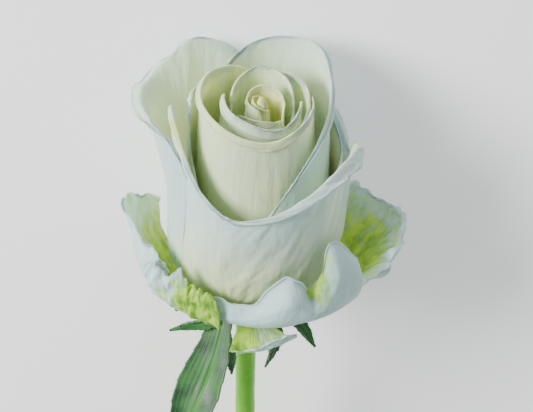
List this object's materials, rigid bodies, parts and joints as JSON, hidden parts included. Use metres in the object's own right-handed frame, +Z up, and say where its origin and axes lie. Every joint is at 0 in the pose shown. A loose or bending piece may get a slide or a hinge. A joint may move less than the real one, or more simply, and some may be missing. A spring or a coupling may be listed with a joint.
{
  "type": "cut rose",
  "caption": "Cut white rose lying on its side: a half-open bloom of nested petals with crumpled green-tinged guard petals, sepals, a short prickly stem and leaves.",
  "frame": {"origin": "centre of the underside of the resting box, on the table", "axes": "+Y along the bloom's axis from the cut end towards the bloom, +Z up, +X to the right as seen from above with the bloom at the top"},
  "size_m": [0.1608, 0.2202, 0.0589],
  "materials": {
    "outer_petals": "satin, cool white with fine veins",
    "heart_petals": "satin, cream deepening to pale yellow-green",
    "guard_petals": "satin, white blotched with fresh green, crumpled",
    "sepals": "matte with a bluish bloom",
    "stem": "smooth satin, bright green",
    "leaves": "satin, dark green with pale veins",
    "stamens": "matte"
  },
  "bodies": {
    "root": {"outer_petal_left": "outer_petals", "outer_petal_back": "outer_petals", "outer_petal_front": "outer_petals", "outer_petal_right": "outer_petals", "middle_petal_left": "outer_petals", "middle_petal_back": "outer_petals", "middle_petal_front": "outer_petals", "inner_petal_right": "heart_petals", "inner_petal_front": "heart_petals", "inner_petal_back": "heart_petals", "heart_petal_front": "heart_petals", "heart_petal_ring": "heart_petals", "heart_petal_inner": "heart_petals", "heart_petal_tip": "heart_petals", "guard_petal_left": "guard_petals", "guard_petal_front_left": "guard_petals", "guard_petal_front": "guard_petals", "guard_petal_right": "guard_petals", "guard_petal_hanging": "guard_petals", "guard_petal_back_right": "guard_petals", "guard_petal_back_left": "guard_petals", "stamens": "stamens", "styles": "stamens", "hip": "stem", "stem": "stem", "sepal_front_left": "sepals", "sepal_front": "sepals", "sepal_right": "sepals", "sepal_back_right": "sepals", "sepal_back_left": "sepals", "leaf_left_stalk": "stem", "leaf_left_leaflet_1": "leaves", "leaf_left_leaflet_2": "leaves", "leaf_left_leaflet_3": "leaves", "leaf_left_leaflet_4": "leaves", "leaf_left_leaflet_5": "leaves", "leaf_right_stalk": "stem", "leaf_right_leaflet_1": "leaves", "leaf_right_leaflet_2": "leaves", "leaf_right_leaflet_3": "leaves", "leaf_right_leaflet_4": "leaves", "leaf_right_leaflet_5": "leaves"}
  },
  "joints": []
}
